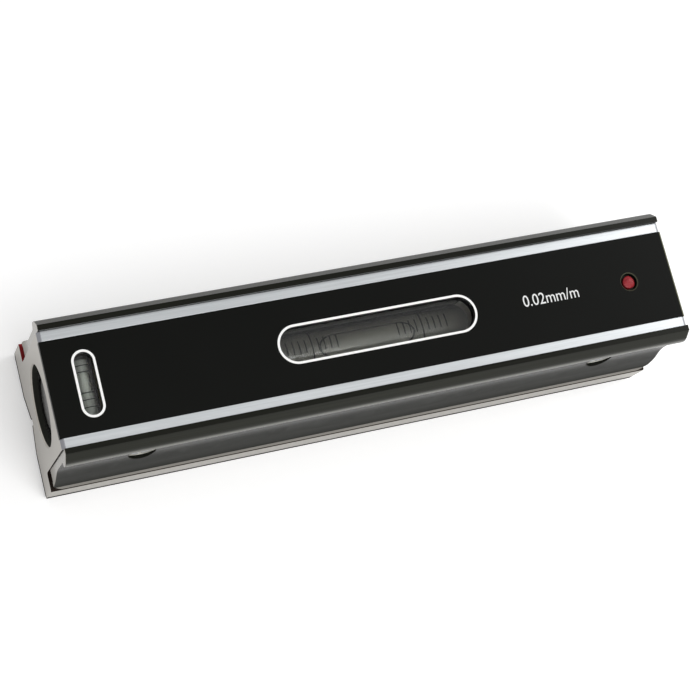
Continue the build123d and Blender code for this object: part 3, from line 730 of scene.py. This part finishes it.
# Adjuster: a fine-thread screw in a blackened bush turns down on the carrier against a
# spring. Its head is sealed with red lacquer once it is set.
def lacquered_screw():
    """Black oxide steel screw whose head carries a brushed-on dab of red lacquer."""
    made, tree = new_material("red_lacquered_steel_screw")
    point = add(tree, "TexCoord", {}, "Object")
    place = add(tree, "SeparateXYZ", {0: point}).node
    head = over(tree, place.outputs["Z"], SCREW_HIGH.z - LACQUER_DEPTH)
    brushed = add(tree, "TexNoise", {"Vector": point, "Scale": 1 / (0.9 * MM), "Detail": 4})
    lacquer = add(
        tree, "MixRGB", {"Fac": brushed, "Color1": linear("#7E1418"), "Color2": linear("#A8252B")}
    )
    colour = add(tree, "MixRGB", {"Fac": head, "Color1": linear("#1B1B1D"), "Color2": lacquer})
    steel = add(tree, "Math", {"operation": "SUBTRACT", 0: 1.0, 1: head})
    surface = add(tree, "Bump", {"Height": brushed, "Strength": 0.5, "Distance": 0.08 * MM})
    shader = add(
        tree,
        "BsdfPrincipled",
        {"Base Color": colour, "Metallic": steel, "Roughness": 0.35, "Normal": surface},
    )
    add(tree, "OutputMaterial", {"Surface": shader})
    return made


def sealing_lacquer():
    """Thick red lacquer: glossy, darker and lighter in patches, with brush marks."""
    made, tree = new_material("red_sealing_lacquer")
    point = add(tree, "TexCoord", {}, "Object")
    brushed = add(tree, "TexNoise", {"Vector": point, "Scale": 1 / (1.4 * MM), "Detail": 4})
    colour = add(
        tree, "MixRGB", {"Fac": brushed, "Color1": linear("#640E13"), "Color2": linear("#A82E37")}
    )
    surface = add(tree, "Bump", {"Height": brushed, "Strength": 0.8, "Distance": 0.25 * MM})
    shader = add(
        tree,
        "BsdfPrincipled",
        {
            "Base Color": colour,
            "Roughness": 0.35,
            "Specular IOR Level": 0.2,
            "Normal": surface,
        },
    )
    add(tree, "OutputMaterial", {"Surface": shader})
    return made


def lacquer_dab(name, centre, radius, rise, material, body):
    """A low uneven dome of lacquer that fills a screw's slot and covers its head."""
    rings, around = 8, 40
    out_of_round, out_of_level = 0.035, 0.18
    points = [(centre.x, centre.y, centre.z + rise)]
    for ring in range(1, rings + 1):
        share = ring / rings
        for step in range(around):
            angle = 2 * pi * step / around
            reach = radius * share * (1 - out_of_round * share * (1 + sin(3 * angle + 0.6)))
            height = rise * (1 - share**3) * (1 + out_of_level * share * cos(2 * angle + 1))
            points.append(
                (centre.x + reach * cos(angle), centre.y + reach * sin(angle), centre.z + height)
            )
    faces = [(0, 1 + i, 1 + (i + 1) % around) for i in range(around)]
    for ring in range(rings - 1):
        a = 1 + ring * around
        b = a + around
        for i in range(around):
            j = (i + 1) % around
            faces.append((a + i, b + i, b + j, a + j))
    faces.append(tuple(1 + (rings - 1) * around + i for i in range(around))[::-1])
    return mesh_piece(name, points, faces, material, body)


SCREW_LOW, SCREW_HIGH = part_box("adjusting_screw")
SCREW_HEAD = (SCREW_LOW + SCREW_HIGH) / 2
LACQUER_DEPTH = 1.2 * MM
LACQUER_FILM = 0.01 * MM
LACQUER_SPREAD = 0.15 * MM
LACQUER_RISE = 0.45 * MM
SCREW_HEAD.z = SCREW_HIGH.z + LACQUER_FILM
dress("adjusting_screw", lacquered_screw())
lacquer_dab(
    "adjuster_lacquer",
    SCREW_HEAD,
    (SCREW_HIGH.x - SCREW_LOW.x) / 2 + LACQUER_SPREAD,
    LACQUER_RISE,
    sealing_lacquer(),
    "adjuster",
)
for name in ("adjuster_bush", "side_set_screws"):
    dress(name, black_steel)
dress("lift_spring", bright_steel)


# End plugs: moulded of black phenolic, with a round groove to grip them by, pushed into
# the mouths of the bore.
def phenolic():
    """Moulded phenolic: glossy black with faint flow marks."""
    made, tree = new_material("black_phenolic")
    point = add(tree, "TexCoord", {}, "Object")
    flow = add(tree, "TexNoise", {"Vector": point, "Scale": 1 / (4 * MM), "Detail": 3})
    colour = add(
        tree, "MixRGB", {"Fac": flow, "Color1": linear("#0E0E0E"), "Color2": linear("#1C1B1A")}
    )
    roughness = add(tree, "MapRange", {"Value": flow, "To Min": 0.2, "To Max": 0.32})
    shader = add(tree, "BsdfPrincipled", {"Base Color": colour, "Roughness": roughness})
    add(tree, "OutputMaterial", {"Surface": shader})
    return made


plug_material = phenolic()
for name in ("left_end_plug", "right_end_plug"):
    dress(name, plug_material)


# Side grips: extruded aluminium rails, lacquered black along their length. Their sawn ends
# and the band along the lower edge are left bare. Two slotted screws hold each.
def lacquered_rail():
    """Extruded aluminium: satin black lacquer with die lines, bare on ends and lower band."""
    made, tree = new_material("black_lacquered_aluminium")
    point = add(tree, "TexCoord", {}, "Object")
    place = add(tree, "SeparateXYZ", {0: point}).node
    ends = over(tree, place.outputs["X"], END_START)
    low_enough = add(
        tree, "Math", {"operation": "LESS_THAN", 0: place.outputs["Z"], 1: BAND_TOP}
    )
    band = over(tree, place.outputs["Y"], BAND_START)
    band = add(tree, "Math", {"operation": "MULTIPLY", 0: low_enough, 1: band})
    across = add(tree, "Math", {"operation": "ABSOLUTE", 0: place.outputs["Y"]})
    # The recesses of the screws were bored after lacquering, to a little below their rims. Their
    # bare walls are coloured paler than the other bare metal, as painted highlight.
    deep = add(tree, "Math", {"operation": "LESS_THAN", 0: across, 1: RECESS_BARE})
    level_with = add(
        tree,
        "Math",
        {"operation": "COMPARE", 0: place.outputs["Z"], 1: SCREW_HEIGHT, 2: RECESS_REACH},
    )
    recess = add(tree, "Math", {"operation": "MULTIPLY", 0: deep, 1: level_with})
    recess = add(
        tree, "Math", {"operation": "SUBTRACT", "use_clamp": True, 0: recess, 1: ends}
    )
    bare = add(tree, "Math", {"operation": "MAXIMUM", 0: ends, 1: band})
    bare = add(tree, "Math", {"operation": "MAXIMUM", 0: bare, 1: recess})
    # Die lines of the extrusion are near 0.2 mm apart and are drawn at 0.5 mm.
    lines = streaks(tree, point, across=0.5 * MM, length=60 * MM, detail=2)
    # The lip's edge is coloured light grey, as painted highlight.
    lip_highlight = add(
        tree,
        "MapRange",
        {"Value": across, "From Min": LIP_EDGE - LIP_HIGHLIGHT_WIDTH, "From Max": LIP_EDGE},
    )
    high_enough = add(
        tree, "Math", {"operation": "GREATER_THAN", 0: place.outputs["Z"], 1: LIP_FROM}
    )
    lip_highlight = add(tree, "Math", {"operation": "MULTIPLY", 0: lip_highlight, 1: high_enough})
    # The lip's top is coloured lighter as painted sheen, but for a strip beside the body.
    lip_sheen = add(tree, "MapRange", {"Value": across, "From Min": SHEEN_FROM, "From Max": SHEEN_FULLY})
    lip_sheen = add(tree, "Math", {"operation": "MULTIPLY", 0: lip_sheen, 1: high_enough})
    lacquer = add(
        tree, "MixRGB", {"Fac": lines, "Color1": linear("#0C0D08"), "Color2": linear("#16170F")}
    )
    sheen_lacquer = add(
        tree, "MixRGB", {"Fac": lines, "Color1": linear("#20211B"), "Color2": linear("#2C2D26")}
    )
    # Painted sheen on the lip's top, then painted highlight along its edge.
    lacquer = add(tree, "MixRGB", {"Fac": lip_sheen, "Color1": lacquer, "Color2": sheen_lacquer})
    lacquer = add(tree, "MixRGB", {"Fac": lip_highlight, "Color1": lacquer, "Color2": linear("#6E6E68")})
    metal = add(
        tree, "MixRGB", {"Fac": lines, "Color1": linear("#7E7B75"), "Color2": linear("#96938D")}
    )
    # Painted highlight: the bare recess walls are paler than the other bare metal.
    metal = add(tree, "MixRGB", {"Fac": recess, "Color1": metal, "Color2": linear("#CFCDC6")})
    colour = add(tree, "MixRGB", {"Fac": bare, "Color1": lacquer, "Color2": metal})
    # Hands polish the upper half, and the skirt below it stays matt.
    matt = add(
        tree,
        "MapRange",
        {
            "Value": place.outputs["Z"],
            "From Min": SKIRT_TOP,
            "From Max": WAIST_LOW,
            "To Min": 0.6,
            "To Max": 0.2,
        },
    )
    roughness = add(tree, "MapRange", {"Value": lines, "To Min": 0.0, "To Max": 0.08})
    roughness = add(tree, "Math", {"operation": "ADD", 0: roughness, 1: matt})
    roughness = add(tree, "MapRange", {"Value": recess, "To Min": roughness, "To Max": 0.65})
    eased = add(tree, "Bevel", {"Radius": 0.2 * MM})
    surface = add(
        tree, "Bump", {"Height": lines, "Strength": 0.2, "Distance": 0.02 * MM, "Normal": eased}
    )
    shader = add(
        tree,
        "BsdfPrincipled",
        {
            "Base Color": colour,
            "Metallic": bare,
            "Roughness": roughness,
            "Specular IOR Level": 0.1,
            "Normal": surface,
        },
    )
    add(tree, "OutputMaterial", {"Surface": shader})
    return made


GRIP_LOW, GRIP_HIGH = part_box("rear_grip")
END_START = GRIP_HIGH.x - 0.1 * MM
BAND_TOP = GRIP_LOW.z + 1.2 * MM
BAND_START = GRIP_HIGH.y - 0.7 * MM
LIP_EDGE = BLOCK_SIDE + 4.4 * MM
LIP_FROM = 40 * MM
LIP_HIGHLIGHT_WIDTH = 0.35 * MM
SHEEN_FROM = BLOCK_SIDE + 1.8 * MM
SHEEN_FULLY = BLOCK_SIDE + 2.2 * MM
SKIRT_TOP = 16 * MM
WAIST_LOW = 28 * MM
RECESS_BARE = 19.28 * MM
RECESS_REACH = 5 * MM
SCREW_HEAD_LOW, SCREW_HEAD_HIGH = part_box("rear_grip_screws")
SCREW_HEIGHT = (SCREW_HEAD_LOW.z + SCREW_HEAD_HIGH.z) / 2
rail_material = lacquered_rail()
matt_steel = plated_steel("matt_zinc_plated_steel", finest=0.5, coarsest=0.65)
for side in ("front", "rear"):
    dress(side + "_grip", rail_material)
    dress(side + "_grip_screws", matt_steel)


# Stage: a pale floor in a white room, lit by two soft lamps, one in front of the level and
# one to its right. The camera looks down on it from the left, as the photograph's does.
def seen(tree):
    """1 for rays that show the background itself: to the camera, or by a mirror or glass."""
    path = add(tree, "LightPath", {}).node.outputs
    shown = add(
        tree, "Math", {"operation": "MAXIMUM", 0: path["Is Camera Ray"], 1: path["Is Glossy Ray"]}
    )
    return add(tree, "Math", {"operation": "MAXIMUM", 0: shown, 1: path["Is Transmission Ray"]})


def floor_paint():
    """Pale matte floor that glows a little where it is seen, so that it comes out white."""
    made, tree = new_material("pale_floor")
    paint = add(tree, "BsdfDiffuse", {"Color": linear("#F2F2F2")})
    shown = seen(tree)
    strength = add(tree, "Math", {"operation": "MULTIPLY", 0: shown, 1: FLOOR_GLOW})
    glow = add(tree, "Emission", {"Color": linear("#FFFFFF"), "Strength": strength})
    shader = add(tree, "AddShader", {0: paint, 1: glow})
    add(tree, "OutputMaterial", {"Surface": shader})
    return made


def soft_lamp(name, direction, width, height, radiance):
    """A rectangular soft lamp that stands off the object in a direction and is turned to it."""
    light = bpy.data.lights.new(name, "AREA")
    light.shape = "RECTANGLE"
    light.size, light.size_y = width, height
    light.energy = radiance * pi * width * height
    made = bpy.data.objects.new(name, light)
    bpy.context.scene.collection.objects.link(made)
    towards = Vector(direction).normalized()
    made.location = CENTRE + LAMP_DISTANCE * towards
    made.rotation_mode = "QUATERNION"
    made.rotation_quaternion = towards.to_track_quat("Z", "X")


FLOOR_GLOW = 0.3
FLOOR_HALF = 3.0
FLOOR_GAP = 0.02 * MM
ROOM_FILL = 0.5
LAMP_DISTANCE = 1.0
CENTRE = (cad_box[0] + cad_box[1]) / 2
floor_mesh = bpy.data.meshes.new("floor")
floor_mesh.from_pydata(
    [(x, y, 0) for x, y in ((-1, -1), (1, -1), (1, 1), (-1, 1))], [], [(0, 1, 2, 3)]
)
floor_mesh.materials.append(floor_paint())
floor = bpy.data.objects.new("floor", floor_mesh)
bpy.context.scene.collection.objects.link(floor)
floor.scale = (FLOOR_HALF, FLOOR_HALF, 1)
floor.location.z = cad_box[0].z - FLOOR_GAP

room = bpy.data.worlds.new("white_room")
room.use_nodes = True
tree = room.node_tree
tree.nodes.clear()
level = add(tree, "MapRange", {"Value": seen(tree), "To Min": ROOM_FILL, "To Max": 1.0})
sky = add(tree, "Background", {"Color": linear("#FFFFFF"), "Strength": level})
add(tree, "OutputWorld", {"Surface": sky})
bpy.context.scene.world = room

FRONT_LAMP = (0.14, -0.434, 0.89)
RIGHT_LAMP = (0.72, 0.2, 0.66)
soft_lamp("front_softbox", FRONT_LAMP, width=0.84, height=0.5, radiance=3.6)
soft_lamp("right_softbox", RIGHT_LAMP, width=0.5, height=0.4, radiance=4.0)

CAMERA_PLACE = Vector((-0.1822, -0.10031, 0.53803))
CAMERA_AIM = Vector((-0.00448, -0.00125, 0.03))
CAMERA_ROLL = radians(48.212)
view = bpy.data.cameras.new("photo_camera")
view.lens = 92
view.sensor_width = 36
view.clip_start, view.clip_end = 0.01, 20
camera = bpy.data.objects.new("photo_camera", view)
bpy.context.scene.collection.objects.link(camera)
camera.location = CAMERA_PLACE
camera.rotation_mode = "QUATERNION"
aimed = (CAMERA_AIM - CAMERA_PLACE).to_track_quat("-Z", "Y")
camera.rotation_quaternion = aimed @ Quaternion((0, 0, 1), CAMERA_ROLL)
bpy.context.scene.camera = camera
bpy.context.scene.view_settings.view_transform = "Standard"
